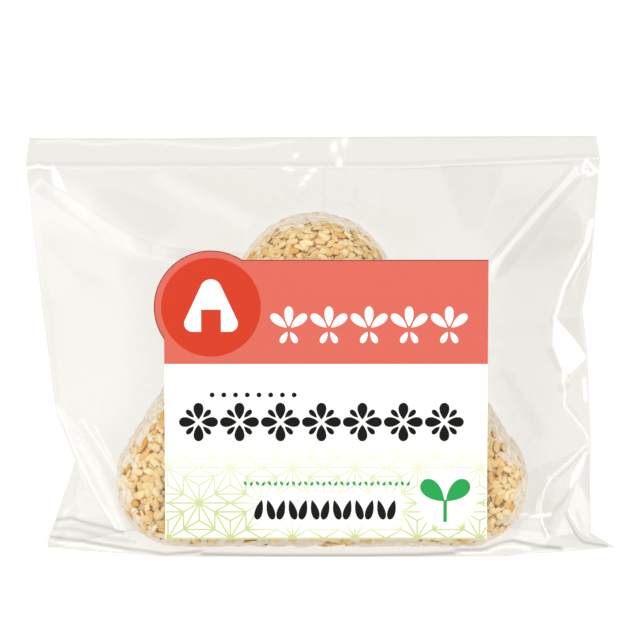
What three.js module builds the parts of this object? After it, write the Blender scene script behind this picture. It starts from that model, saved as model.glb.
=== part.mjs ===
// A large rice ball sealed in a clear pillow bag, standing on its base, with a die-cut label on its front.
// Millimetres, +Z up, the front faces -Y. The origin is on the floor, under the middle of the bag.
// The bag is the closed outer form of the film round the rice ball. The label is a card on its front.
import * as THREE from "three";
import { mergeVertices } from "three/addons/utils/BufferGeometryUtils.js";

// Sizes of the bag
const FRONT_DEPTH = 20.5; // from the middle of the bag to the flat front of the film
const LABEL_GAP = 0.3;
const LABEL_THICKNESS = 0.4;
// The back bulges as far as the label stands out
const BACK_DEPTH = FRONT_DEPTH + LABEL_GAP + LABEL_THICKNESS;
const FILM_HALF = 0.5; // half of the flat double film at the seals and edges
const SEAM_HEIGHT = 95.7; // lower edge of the sealed strip along the top
const SEAM_RISE = 2.4; // the strip narrows towards its right end
const TOP_HEIGHT = 103.1;
const TOP_TILT = 0.6 / 70; // the top edge climbs a little to the right
const TOP_RUN = 21.5; // height that the film takes from the seal down to its full depth, in the middle
const TOP_RUN_TILT = 0.095; // and how much more it takes for each millimetre to the right
const LEFT_RUN = 27; // width that it takes from the side edges to its full depth
const RIGHT_RUN = 26.5;
const RIGHT_FLAT = 2.7; // width of the flat strip that the right edge has towards the top
const RIGHT_FLAT_Z = [66, 88]; // heights between which the strip opens
const FOOT_ROUND = 1.3; // radius at which the film turns under the rice ball
const CREASE = 2.4; // width over which two flat panels of film blend at a crease
// At the back the film slopes over this width from the rice ball's two upper sides to the top corners
const TENT_RUN = 56;

// Side edges of the bag as [height, x]: in at the waist, out again at the ears on the floor
const LEFT_EDGE = [
  [0, -69.4],
  [1.9, -69.4],
  [6.4, -67.6],
  [21, -62.7],
  [33.4, -67.5],
  [62, -70.9],
  [96.7, -74.4],
  [104, -73.4],
];
const RIGHT_EDGE = [
  [0, 74.4],
  [3.6, 67.8],
  [24.8, 68.3],
  [47.4, 67.2],
  [58.4, 65.8],
  [69.5, 68],
  [95.4, 69.8],
  [104.5, 68.7],
];

// Folds where each lower corner of the body meets its ear: from the side edge down to the floor.
// depth is how far forward the lower end lies, and slope how fast the body deepens away from the fold.
const LEFT_FOLD = { x0: -62.7, z0: 21, x1: -51, z1: 4, depth: 10, slope: 0.735, inside: 1 };
const RIGHT_FOLD = { x0: 68.3, z0: 24.8, x1: 57, z1: 3.3, depth: 9, slope: 0.63, inside: -1 };
const FOLD_DROP = 4; // how steeply the film drops from a fold to the ear behind it
const CORNER_TOP = 26; // height above which the folds let the side panels go
const CORNER_RELEASE = 0.8;
const EAR_SLOPE = 0.72; // the ears open towards the floor
const EAR_LEAN = 8; // how far their tips lie forward
const EAR_HEIGHT = 24; // height below which the side folds lean
const FRONT_EAR_WIDTH = 30; // distance from the side edge within which the front does
const BACK_EAR_WIDTH = 18;
const EAR_TIP = 2;

// The rice ball: the outline is a band stretched round three circles, and its rim is a rounded edge
const RICE_BASE = 0.35;
const RICE_TOP = 83.2;
const RICE_HALF_WIDTH = 51.5;
const RICE_HALF_DEPTH = 19;
const APEX_RADIUS = 20;
const CORNER_RADIUS = 15.7;
const RIM_WIDTH = 14;
const RIM_POWER = 2.8;
const SEED_HEIGHT = 0.9; // the film lies on the sesame seeds
const OUTLINE_DIRECTIONS = 72;

// The label: a rectangle with a round tab at its upper left corner
const LABEL_LEFT = -39;
const LABEL_RIGHT = 41;
const LABEL_BOTTOM = 4.8;
const LABEL_TOP = 74.9;
const TAB_X = -27.4;
const TAB_Z = 63.1;
const TAB_RADIUS = 14.1;

// Steps of the bag's mesh
const COLUMNS = 44;
const BODY_ROWS = 36;
const HEADER_ROWS = 2;
const FOOT_STEPS = 3;

const clamp = (value, low, high) => Math.min(high, Math.max(low, value));

// 0 before start, 1 after end, and an even S curve between them
function smooth(value, start, end) {
  const t = clamp((value - start) / (end - start), 0, 1);
  return t * t * (3 - 2 * t);
}

// Straight line between the points of a [height, x] list
function along(points, height) {
  const last = points.length - 1;
  let i = 1;
  while (i < last && points[i][0] < height) i++;
  const [z0, x0] = points[i - 1];
  const [z1, x1] = points[i];
  return x0 + (x1 - x0) * clamp((height - z0) / (z1 - z0), 0, 1);
}

// The lower and higher of two heights, blended over a crease
function lower(a, b) {
  const h = Math.max(CREASE - Math.abs(a - b), 0) / CREASE;
  return Math.min(a, b) - (h * h * CREASE) / 4;
}
const higher = (a, b) => -lower(-a, -b);

// Centres and radii of the three circles that the rice ball's outline goes round
const riceCircles = [
  { x: 0, z: RICE_TOP - APEX_RADIUS, r: APEX_RADIUS },
  { x: CORNER_RADIUS - RICE_HALF_WIDTH, z: RICE_BASE + CORNER_RADIUS, r: CORNER_RADIUS },
  { x: RICE_HALF_WIDTH - CORNER_RADIUS, z: RICE_BASE + CORNER_RADIUS, r: CORNER_RADIUS },
];

// How far in each direction the outline reaches from the origin
const riceReach = Array.from({ length: OUTLINE_DIRECTIONS }, (_, i) => {
  const angle = (2 * Math.PI * i) / OUTLINE_DIRECTIONS;
  const [nx, nz] = [Math.cos(angle), Math.sin(angle)];
  return { nx, nz, reach: Math.max(...riceCircles.map((c) => c.x * nx + c.z * nz + c.r)) };
});

// Half the rice ball's depth at a point of the front view: full inside the rim, less round it, 0 outside
function riceHalfDepth(x, z) {
  const inside = Math.min(...riceReach.map(({ nx, nz, reach }) => reach - nx * x - nz * z));
  if (inside <= 0) return 0;
  const rim = clamp(1 - inside / RIM_WIDTH, 0, 1);
  return RICE_HALF_DEPTH * (1 - rim ** RIM_POWER) ** (1 / RIM_POWER);
}

// Depth of the body's lower corner: it grows down along the fold and away from it, and drops outside it
function cornerDepth(fold, x, z) {
  const length = Math.hypot(fold.x1 - fold.x0, fold.z1 - fold.z0);
  const [ux, uz] = [(fold.x1 - fold.x0) / length, (fold.z1 - fold.z0) / length];
  const down = (x - fold.x0) * ux + (z - fold.z0) * uz;
  const away = fold.inside * (-(x - fold.x0) * uz + (z - fold.z0) * ux);
  const above = CORNER_RELEASE * Math.max(z - CORNER_TOP, 0);
  return (fold.depth / length) * down + (away > 0 ? fold.slope : FOLD_DROP) * away + above;
}

const seamHeight = (x) => SEAM_HEIGHT + SEAM_RISE * clamp((x - 20) / 50, 0, 1);
const topHeight = (x) => TOP_HEIGHT + TOP_TILT * x;

// How far a point of the front view lies outside the straight upper sides of the rice ball
function beyondSides(x, z) {
  const [apex, , corner] = riceCircles;
  const [run, drop] = [corner.x - apex.x, apex.z - corner.z];
  const turn = Math.atan2(run, drop) - Math.asin((apex.r - corner.r) / Math.hypot(run, drop));
  return Math.abs(x) * Math.cos(turn) + (z - apex.z) * Math.sin(turn) - apex.r;
}

// Half the bag's depth at a point of the front view, where full is its depth over the rice ball
function bagHalfDepth(x, z, full, atFront) {
  const [left, right] = [x - along(LEFT_EDGE, z), along(RIGHT_EDGE, z) - x];
  const flat = RIGHT_FLAT * smooth(z, ...RIGHT_FLAT_Z);
  const panels = [
    (full * (seamHeight(x) - z)) / (TOP_RUN + TOP_RUN_TILT * x),
    (full * left) / LEFT_RUN,
    (full * (right - flat)) / RIGHT_RUN,
    cornerDepth(LEFT_FOLD, x, z),
    cornerDepth(RIGHT_FOLD, x, z),
  ];
  if (!atFront) panels.push(full * (1 - beyondSides(x, z) / TENT_RUN));
  const body = panels.reduce(lower, full);
  const leftEar = EAR_SLOPE * left * (1 - z / LEFT_FOLD.z0);
  const rightEar = EAR_SLOPE * right * (1 - z / RIGHT_FOLD.z0);
  const ear = x < 0 ? leftEar : rightEar;
  const rice = riceHalfDepth(x, z);
  const onRice = rice > 0 ? rice + SEED_HEIGHT : 0;
  return clamp(higher(higher(body, ear), onRice), FILM_HALF, full);
}

// How far a point of the film leans to the front, which only the ears on the floor do
function earLean(x, z, atFront) {
  const width = atFront ? FRONT_EAR_WIDTH : BACK_EAR_WIDTH;
  const outside = Math.max(along(LEFT_EDGE, z) - x, x - along(RIGHT_EDGE, z));
  return EAR_LEAN * smooth(outside, -width, -EAR_TIP) * (1 - smooth(z, 0, EAR_HEIGHT));
}

// Rows of the bag's mesh from the floor up: each one's height at x, and what the foot's turn takes off it
function bagRows() {
  const rows = [];
  for (let i = 0; i < FOOT_STEPS; i++) {
    const turn = (Math.PI / 2) * (i / FOOT_STEPS);
    rows.push({
      height: () => FOOT_ROUND * (1 - Math.cos(turn)),
      inset: FOOT_ROUND * (1 - Math.sin(turn)),
    });
  }
  for (let i = 0; i <= BODY_ROWS; i++) {
    const share = i / BODY_ROWS;
    rows.push({ height: (x) => FOOT_ROUND + (seamHeight(x) - FOOT_ROUND) * share, inset: 0 });
  }
  for (let i = 1; i <= HEADER_ROWS; i++) {
    const share = i / HEADER_ROWS;
    rows.push({ height: (x) => seamHeight(x) + (topHeight(x) - seamHeight(x)) * share, inset: 0 });
  }
  return rows;
}

// The bag: closed loops of points, front from left to right and back from right to left, stacked and capped
function bagGeometry() {
  const rows = bagRows();
  const loop = 2 * (COLUMNS + 1);
  const positions = [];
  for (const row of rows) {
    for (let i = 0; i < loop; i++) {
      const atFront = i <= COLUMNS;
      const share = (atFront ? i : loop - 1 - i) / COLUMNS;
      const middle = row.height(0);
      const [left, right] = [along(LEFT_EDGE, middle), along(RIGHT_EDGE, middle)];
      const x = left + (right - left) * share;
      const z = row.height(x);
      const depth = bagHalfDepth(x, z, atFront ? FRONT_DEPTH : BACK_DEPTH, atFront) - row.inset;
      const outward = (atFront ? -1 : 1) * Math.max(FILM_HALF, depth);
      positions.push(x, Math.max(outward - earLean(x, z, atFront), -FRONT_DEPTH), z);
    }
  }
  const faces = [];
  for (let j = 0; j < rows.length - 1; j++) {
    for (let i = 0; i < loop; i++) {
      const [a, b] = [j * loop + i, j * loop + ((i + 1) % loop)];
      faces.push(a, b, b + loop, a, b + loop, a + loop);
    }
  }
  const top = (rows.length - 1) * loop;
  for (let i = 0; i < COLUMNS; i++) {
    const [a, b, c, d] = [i, i + 1, loop - 2 - i, loop - 1 - i];
    faces.push(a, c, b, a, d, c);
    faces.push(top + a, top + b, top + c, top + a, top + c, top + d);
  }
  const geometry = new THREE.BufferGeometry();
  geometry.setAttribute("position", new THREE.Float32BufferAttribute(positions, 3));
  geometry.setIndex(faces);
  const closed = mergeVertices(geometry, 1e-3);
  closed.computeVertexNormals();
  return closed;
}

// The label: its outline goes round the rectangle and, at the upper left, round the tab
function labelGeometry() {
  const tabTop = Math.asin((LABEL_TOP - TAB_Z) / TAB_RADIUS); // where the tab leaves the top edge
  const tabSide = Math.acos((LABEL_LEFT - TAB_X) / TAB_RADIUS); // where it meets the left edge
  const outline = new THREE.Shape();
  outline.moveTo(LABEL_LEFT, LABEL_BOTTOM);
  outline.lineTo(LABEL_RIGHT, LABEL_BOTTOM);
  outline.lineTo(LABEL_RIGHT, LABEL_TOP);
  outline.absarc(TAB_X, TAB_Z, TAB_RADIUS, tabTop, 2 * Math.PI - tabSide, false);
  outline.closePath();
  const geometry = new THREE.ExtrudeGeometry(outline, {
    depth: LABEL_THICKNESS,
    bevelEnabled: false,
    curveSegments: 24,
  });
  return geometry.rotateX(Math.PI / 2); // the outline's y becomes z, and its depth runs towards -Y
}

const film = new THREE.MeshStandardMaterial({
  color: 0xeeede9,
  roughness: 0.15,
  metalness: 0,
  transparent: true,
  opacity: 0.35,
});
const card = new THREE.MeshStandardMaterial({ color: 0xfafaf7, roughness: 0.55, metalness: 0 });

const bag = new THREE.Mesh(bagGeometry(), film);
bag.name = "bag";

const label = new THREE.Mesh(labelGeometry(), card);
label.name = "label";
label.position.y = -(FRONT_DEPTH + LABEL_GAP);

const ricePack = new THREE.Group();
ricePack.add(bag, label);

export default ricePack;
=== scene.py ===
"""A large rice ball coated with sesame, sealed in a clear film bag, with a die-cut label on its front.

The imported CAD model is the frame. The bag's solid is replaced by its film and by the rice ball inside,
and the label's plate by a printed card. Shapes are worked out in millimetres and written in metres.
"""

import math

import bpy
import numpy as np
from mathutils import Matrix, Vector
from mathutils.geometry import delaunay_2d_cdt


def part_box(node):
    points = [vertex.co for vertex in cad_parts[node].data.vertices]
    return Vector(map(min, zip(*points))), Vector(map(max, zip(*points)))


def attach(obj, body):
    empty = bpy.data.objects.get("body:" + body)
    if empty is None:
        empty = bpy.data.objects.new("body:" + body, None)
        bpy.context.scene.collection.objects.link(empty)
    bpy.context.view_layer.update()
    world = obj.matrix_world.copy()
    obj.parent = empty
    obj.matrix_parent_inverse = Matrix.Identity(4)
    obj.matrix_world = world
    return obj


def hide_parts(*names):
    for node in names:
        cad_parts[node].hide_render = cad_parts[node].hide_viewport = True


bl_info = {
    "name": "Packed rice ball",
    "version": (1, 0, 0),
    "blender": (4, 5, 0),
    "location": "View3D > Sidebar > Rice ball",
    "description": "Builds a sesame rice ball in a clear film bag with a printed label",
    "category": "Add Mesh",
}

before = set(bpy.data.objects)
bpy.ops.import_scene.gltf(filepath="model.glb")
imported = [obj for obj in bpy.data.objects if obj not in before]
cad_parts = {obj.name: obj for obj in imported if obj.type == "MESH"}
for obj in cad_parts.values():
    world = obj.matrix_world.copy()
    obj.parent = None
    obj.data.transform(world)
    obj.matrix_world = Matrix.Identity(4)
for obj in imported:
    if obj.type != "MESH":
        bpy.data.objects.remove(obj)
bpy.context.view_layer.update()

MM = 0.001
BODY = "root"


def in_mm(corner):
    """A corner of the frame as millimetres."""
    return np.array(corner) / MM


LABEL_LOW, LABEL_HIGH = (in_mm(c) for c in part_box("label"))

# Side edges of the bag as heights and x: in at the waist, out again at the ears on the floor
LEFT_Z = (0, 1.9, 6.4, 21, 33.4, 62, 96.7, 104)
LEFT_X = (-69.4, -69.4, -67.6, -62.7, -67.5, -70.9, -74.4, -73.4)
RIGHT_Z = (0, 3.6, 24.8, 47.4, 58.4, 69.5, 95.4, 104.5)
RIGHT_X = (74.4, 67.8, 68.3, 67.2, 65.8, 68, 69.8, 68.7)

# The film: sealed strip at the top, straight panels down to its flat front, folds at its lower corners
FRONT_DEPTH = 20.5
BACK_DEPTH = 21.2
SEAM_HEIGHT = 95.7
SEAM_RISE = 2.4
SEAM_CLIMB_START = 20
SEAM_CLIMB_RUN = 50
TOP_HEIGHT = 103.4
TOP_TILT = 0.25 / 70
TOP_WAVE = 0.1
TOP_WAVE_RUN = 13
TOP_RUN = 21.5
TOP_RUN_TILT = 0.095
LEFT_RUN = 27
RIGHT_RUN = 26.5
RIGHT_FLAT = 2.7
RIGHT_FLAT_Z = (66, 88)
TENT_RUN = 56
FOOT_ROUND = 1.3
SEALED_HALF = 0.12
SEAM_BEAD = 0.35
SEAM_BEAD_WIDTH = 0.45
LEFT_FOLD = dict(start=(-62.7, 21), end=(-51, 4), depth=10, slope=0.735, inside=1)
RIGHT_FOLD = dict(start=(68.3, 24.8), end=(57, 3.3), depth=9, slope=0.63, inside=-1)
FOLD_DROP = 4
CORNER_TOP = 26
CORNER_RELEASE = 0.8

# The ears at the lower corners, which lean to the front as they lie on the floor
EAR_SLOPE = 0.72
EAR_LEAN = 8
EAR_TOP = 24
EAR_TIP = 2
FRONT_EAR_WIDTH = 30
BACK_EAR_WIDTH = 18

# How far neighbouring panels of the film round into each other, the left one more softly
PANEL_BLEND = 3.4
LEFT_BLEND = 9
EAR_BLEND = 1
RICE_BLEND = 1.5

# Room between the film and the rice: beyond its outline and along its depth
OUTLINE_GAP = 0.8
DEPTH_GAP = 1.3

# Rows and columns of the film's grid, closer together near the floor, the seam and the sides
FOOT_ROWS = 6
BODY_ROWS = 160
HEADER_ROWS = 14
FLOOR_ROWS = 12
COLUMNS = 264
ROW_PLACES, ROW_SHARES = (0, 0.14, 0.95, 1), (0, 0.07, 0.98, 1)
COLUMN_PLACES, COLUMN_SHARES = (0, 0.4, 0.62, 1), (0, 0.235, 0.785, 1)

# The rice ball: a band stretched round three circles, with a rounded rim
RICE_BASE = 0.35
RICE_TOP = 83.2
RICE_HALF_WIDTH = 51.5
RICE_HALF_DEPTH = 19
APEX_RADIUS = 20
APEX_X = -1.7
CORNER_RADIUS = 15.7
RIM_WIDTH = 14
RIM_POWER = 2.8
MIDDLE_HEIGHT = RICE_TOP * 0.42

# How far the seeds reach over the rim, and how much further round the apex and on the straight sides
SEED_REACH = 11.5
APEX_REACH = 6.8
RIGHT_REACH = 1.8
LEFT_REACH = 2.6

# What lies lowest is pressed flat this far above the floor
FLOOR_GAP = 0.15


def linear(hex_colour):
    """An sRGB hex colour as linear red, green and blue."""
    parts = np.array([int(hex_colour[i : i + 2], 16) for i in (1, 3, 5)]) / 255
    low = parts / 12.92
    high = ((parts + 0.055) / 1.055) ** 2.4
    return tuple(float(v) for v in np.where(parts <= 0.04045, low, high))


def smooth(value, start, end):
    """0 before start, 1 after end, and an even S curve between them."""
    t = np.clip((value - start) / (end - start), 0, 1)
    return t * t * (3 - 2 * t)


def lower(a, b, blend):
    """The lower of two heights, rounded over blend where they cross."""
    h = np.maximum(blend - np.abs(a - b), 0) / blend
    return np.minimum(a, b) - h * h * blend / 4


def higher(a, b, blend):
    """The higher of two heights, rounded over blend where they cross."""
    return -lower(-a, -b, blend)


def waves(x, z, scale, count, rng, stretch=(1, 1)):
    """Smooth noise from about -1 to 1: the mean of plane waves of about that scale in random directions."""
    total = np.zeros(np.broadcast(x, z).shape)
    for _ in range(count):
        angle = rng.uniform(0, 2 * math.pi)
        length = scale * rng.uniform(0.7, 1.5)
        along = math.cos(angle) * x / stretch[0] + math.sin(angle) * z / stretch[1]
        total = total + np.sin(2 * math.pi * along / length + rng.uniform(0, 2 * math.pi))
    return total / math.sqrt(count)


# Settings that a user would change


def colour_setting(name, description, hex_colour):
    """A colour that the user can change, given as sRGB hex."""
    return bpy.props.FloatVectorProperty(
        name=name, description=description, subtype="COLOR", size=3, default=linear(hex_colour)
    )


def length_setting(name, description, millimetres):
    """A length that the user can change, given in millimetres."""
    return bpy.props.FloatProperty(
        name=name, description=description, unit="LENGTH", default=millimetres * MM
    )


class BagSettings(bpy.types.PropertyGroup):
    """Film and its wrinkles."""

    film_tint: colour_setting("Film tint", "Colour that light takes on through one layer of film", "#efeeec")
    wrinkle_height: length_setting("Wrinkle height", "Height of the small wrinkles of the film", 0.16)


class RiceSettings(bpy.types.PropertyGroup):
    """Cooked rice of the ball."""

    rice_colour: colour_setting("Rice", "Colour of the cooked rice", "#f8eddc")
    grain_length: length_setting("Grain length", "Length of a cooked grain", 5.6)
    grain_count: bpy.props.IntProperty(
        name="Grains",
        description="Number of loose grains on the sides of the rice ball",
        default=1900,
    )


class SesameSettings(bpy.types.PropertyGroup):
    """Roasted white sesame."""

    pale: colour_setting("Pale seed", "Colour of the palest seeds", "#ffecbf")
    golden: colour_setting("Golden seed", "Colour of the most roasted of the usual seeds", "#eab767")
    brown: colour_setting("Brown tip", "Colour of the scar at a seed's pointed end", "#6a3a10")
    seed_length: length_setting("Seed length", "Length of a seed", 3.9)
    seed_spacing: length_setting("Seed spacing", "Distance between seeds before they are scattered", 1.86)


class LabelSettings(bpy.types.PropertyGroup):
    """Print of the label."""

    band: colour_setting("Band", "Colour of the band along the top and of the ring round the disc", "#c96052")
    disc: colour_setting("Disc", "Colour of the round field at the upper left", "#c1351b")
    pattern: colour_setting("Hemp leaf pattern", "Colour of the pattern where it is strongest", "#b7c285")
    ink: colour_setting("Dark ink", "Colour of the dark drops", "#0a0908")


class StageSettings(bpy.types.PropertyGroup):
    """Camera and floor."""

    elevation: bpy.props.FloatProperty(
        name="Elevation",
        description="Angle at which the camera looks down",
        subtype="ANGLE",
        default=math.radians(8),
    )
    distance: length_setting("Camera distance", "Distance from the camera to the middle of the bag", 898.7)
    lens: bpy.props.FloatProperty(
        name="Focal length",
        description="Focal length of the camera's lens in millimetres",
        default=200,
    )


def settings(name):
    """The settings of that name on the scene."""
    return getattr(bpy.context.scene, "rice_pack_" + name)


# Meshes


def grid_faces(rows, columns, wrap=False):
    """Quads of a grid of points, numbered row by row. wrap joins the last column to the first."""
    count = columns if wrap else columns - 1
    i = np.arange(count)
    j = np.arange(rows - 1)[:, None]
    a = j * columns + i
    b = j * columns + (i + 1) % columns
    return np.stack([a, b, b + columns, a + columns], axis=-1).reshape(-1, 4)


def closed_faces(rings, around):
    """Faces of a closed form: quads between its rings, and triangles to a point at either end. The two
    points come after the rings."""
    i = np.arange(around)
    ahead = (i + 1) % around
    first, last = rings * around, rings * around + 1
    final = (rings - 1) * around
    start_cap = np.stack([np.full(around, first), ahead, i], -1)
    end_cap = np.stack([np.full(around, last), final + i, final + ahead], -1)
    return grid_faces(rings, around, wrap=True), start_cap, end_cap


def make_mesh(name, points, *polygons, smooth_shading=True):
    """A mesh object from points in millimetres and arrays of quads or triangles."""
    mesh = bpy.data.meshes.new(name)
    corners = np.concatenate([p.reshape(-1) for p in polygons]).astype(np.int32)
    sizes = np.concatenate([np.full(len(p), p.shape[1], np.int32) for p in polygons])
    starts = np.concatenate([[0], np.cumsum(sizes)[:-1]]).astype(np.int32)
    mesh.vertices.add(len(points))
    mesh.vertices.foreach_set("co", (np.asarray(points, np.float32) * MM).reshape(-1))
    mesh.loops.add(len(corners))
    mesh.loops.foreach_set("vertex_index", corners)
    mesh.polygons.add(len(sizes))
    mesh.polygons.foreach_set("loop_start", starts)
    mesh.update(calc_edges=True)
    mesh.validate()
    mesh.polygons.foreach_set("use_smooth", np.full(len(mesh.polygons), smooth_shading))
    thing = bpy.data.objects.new(name, mesh)
    bpy.context.scene.collection.objects.link(thing)
    return thing


def point_values(thing, name, values):
    """Stores one number for each point of a mesh."""
    layer = thing.data.attributes.new(name, "FLOAT", "POINT")
    layer.data.foreach_set("value", np.asarray(values, np.float32).reshape(-1))


def dress(thing, material):
    """Gives a finished piece its material and its body."""
    thing.data.materials.append(material)
    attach(thing, BODY)
    return thing


# Materials


def new_material(name):
    """An empty node material and its tree."""
    material = bpy.data.materials.new(name)
    material.use_nodes = True
    material.node_tree.nodes.clear()
    return material, material.node_tree


def add(tree, kind, inputs=None, **facts):
    """Adds a node of that kind, sets its facts, and sets or links its inputs by name or number."""
    node = tree.nodes.new(kind)
    for key, value in facts.items():
        setattr(node, key, value)
    for key, value in (inputs or {}).items():
        if isinstance(value, bpy.types.NodeSocket):
            tree.links.new(value, node.inputs[key])
        else:
            node.inputs[key].default_value = value
    return node


def with_alpha(colour):
    """A colour of three numbers as the four that a socket takes."""
    return (*colour, 1.0)


# The rice ball's form


def rice_circles():
    """Centres and radii of the three circles, clockwise from the apex as seen from the front."""
    side = RICE_HALF_WIDTH - CORNER_RADIUS
    low = RICE_BASE + CORNER_RADIUS
    return np.array([
        (APEX_X, RICE_TOP - APEX_RADIUS, APEX_RADIUS),
        (side, low, CORNER_RADIUS),
        (-side, low, CORNER_RADIUS),
    ])


def side_normal():
    """Angle above +X of the outward normal of the right upper side, with the apex taken as in the middle."""
    apex, corner = rice_circles()[:2]
    run, drop = corner[0], apex[1] - corner[1]
    return math.atan2(run, drop) - math.asin((apex[2] - corner[2]) / math.hypot(run, drop))


def rice_outline(share):
    """Centre, radius and outward normal of the outline at shares of its way round.

    The way starts at the right side's upper end and runs anticlockwise: an arc round the apex, the left
    side, an arc, the base, an arc and the right side. On a straight stretch the centre and the radius
    go evenly from one circle's to the next's.
    """
    apex, right, left = rice_circles()
    a = side_normal()
    stops = [
        (apex, a),
        (apex, math.pi - a),
        (left, math.pi - a),
        (left, 1.5 * math.pi),
        (right, 1.5 * math.pi),
        (right, 2 * math.pi + a),
        (apex, 2 * math.pi + a),
    ]
    circle = np.array([s[0] for s in stops])
    angle = np.array([s[1] for s in stops])
    turns = np.abs(np.diff(angle)) * circle[:-1, 2]
    runs = np.hypot(*np.diff(circle[:, :2], axis=0).T)
    at = np.concatenate([[0], np.cumsum(turns + runs)])
    where = np.asarray(share) % 1 * at[-1]
    cx, cz, r = (np.interp(where, at, circle[:, k]) for k in range(3))
    theta = np.interp(where, at, angle)
    return cx, cz, r, np.cos(theta), np.sin(theta), at[-1]


def rim_curve(share):
    """Inset from the outline and depth along the rim, at shares of its length from front to back.

    The rim is a superellipse: (1 - inset / width) to the power p and (depth / half depth) to the power p add
    up to 1.
    """
    turn = np.linspace(-math.pi / 2, math.pi / 2, 400)
    inset = RIM_WIDTH * (1 - np.cos(turn) ** (2 / RIM_POWER))
    depth = RICE_HALF_DEPTH * np.sign(turn) * np.abs(np.sin(turn)) ** (2 / RIM_POWER)
    at = np.concatenate([[0], np.cumsum(np.hypot(np.diff(inset), np.diff(depth)))])
    where = np.asarray(share) * at[-1]
    return np.interp(where, at, inset), np.interp(where, at, depth), at[-1]


def rice_inside(x, z):
    """How far points of the front view lie inside the rice ball's outline, below 0 outside it."""
    circles = rice_circles()
    best = np.full(np.broadcast(x, z).shape, np.inf)
    for angle in np.linspace(0, 2 * math.pi, 90, endpoint=False):
        nx, nz = math.cos(angle), math.sin(angle)
        reach = max(c[0] * nx + c[1] * nz + c[2] for c in circles)
        best = np.minimum(best, reach - nx * x - nz * z)
    return best


def rice_half_depth(x, z, grown=0):
    """Half the depth of the rice ball at points of the front view, with its outline grown by some mm."""
    inside = rice_inside(x, z) + grown
    rim = np.clip(1 - inside / RIM_WIDTH, 0, 1)
    return np.where(inside > 0, RICE_HALF_DEPTH * (1 - rim**RIM_POWER) ** (1 / RIM_POWER), 0)


def beyond_sides(x, z):
    """How far points of the front view lie outside the straight upper sides of the rice ball."""
    apex = rice_circles()[0]
    a = side_normal()
    return np.abs(x) * math.cos(a) + (z - apex[1]) * math.sin(a) - apex[2]


# The film


def seam_height(x):
    """Height of the sealed strip's lower edge, which climbs towards its right end."""
    return SEAM_HEIGHT + SEAM_RISE * np.clip((x - SEAM_CLIMB_START) / SEAM_CLIMB_RUN, 0, 1)


def top_height(x):
    """Height of the bag's top edge, with a slight wave."""
    wave = 1 - np.sin(x / TOP_WAVE_RUN + 1.1)
    return TOP_HEIGHT + TOP_TILT * x - TOP_WAVE * wave * smooth(-x, 0, 40)


def corner_depth(fold, x, z):
    """Depth of a lower corner of the body: grows down along its fold and away from it, and drops outside."""
    start, end = np.array(fold["start"]), np.array(fold["end"])
    length = np.linalg.norm(end - start)
    ux, uz = (end - start) / length
    down = (x - start[0]) * ux + (z - start[1]) * uz
    away = fold["inside"] * (-(x - start[0]) * uz + (z - start[1]) * ux)
    above = np.maximum(z - CORNER_TOP, 0) * CORNER_RELEASE
    return fold["depth"] / length * down + np.where(away > 0, fold["slope"], FOLD_DROP) * away + above


def bag_half_depth(x, z, full, at_front):
    """Half the bag's depth: the lowest of its panels, but never inside its ears or the rice ball."""
    left = x - np.interp(z, LEFT_Z, LEFT_X)
    right = np.interp(z, RIGHT_Z, RIGHT_X) - x
    flat = RIGHT_FLAT * smooth(z, *RIGHT_FLAT_Z)
    panels = [
        full * (seam_height(x) - z) / (TOP_RUN + TOP_RUN_TILT * x),
        full * left / LEFT_RUN,
        full * (right - flat) / RIGHT_RUN,
        corner_depth(LEFT_FOLD, x, z),
        corner_depth(RIGHT_FOLD, x, z),
    ]
    if not at_front:
        panels.append(full * (1 - beyond_sides(x, z) / TENT_RUN))
    body = np.full(x.shape, float(full))
    for k, panel in enumerate(panels):
        body = lower(body, panel, LEFT_BLEND if k == 1 else PANEL_BLEND)
    left_ear = left * (1 - z / LEFT_FOLD["start"][1])
    right_ear = right * (1 - z / RIGHT_FOLD["start"][1])
    ear = np.where(x < 0, left_ear, right_ear)
    rice = rice_half_depth(x, z, OUTLINE_GAP)
    on_rice = np.where(rice > 0, rice + DEPTH_GAP, 0)
    return np.minimum(higher(higher(body, EAR_SLOPE * ear, EAR_BLEND), on_rice, RICE_BLEND), full)


def line_distance(x, z, points):
    """Distance of points of the front view from a line through the given points."""
    nearest = np.full(x.shape, np.inf)
    for (x0, z0), (x1, z1) in zip(points[:-1], points[1:]):
        run, rise = x1 - x0, z1 - z0
        t = np.clip(((x - x0) * run + (z - z0) * rise) / (run * run + rise * rise), 0, 1)
        nearest = np.minimum(nearest, np.hypot(x - x0 - t * run, z - z0 - t * rise))
    return nearest


# Radius that rounds the crest of a fold
CREST_ROUND = 0.12


def crest(away, reach):
    """A fold's height at a distance from its line: from 1 down to 0 at its reach, with a rounded top."""
    fall = (np.sqrt(away**2 + CREST_ROUND**2) - CREST_ROUND) / reach
    return 1 - lower(fall, np.ones(fall.shape), 0.25)


def facet_inside(x, z, corners):
    """How far points lie inside a convex facet whose corners go round clockwise."""
    inside = np.full(x.shape, np.inf)
    for (x0, z0), (x1, z1) in zip(corners, corners[1:] + corners[:1]):
        length = math.hypot(x1 - x0, z1 - z0)
        inside = np.minimum(inside, ((x - x0) * (z1 - z0) - (z - z0) * (x1 - x0)) / length)
    return inside
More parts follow.
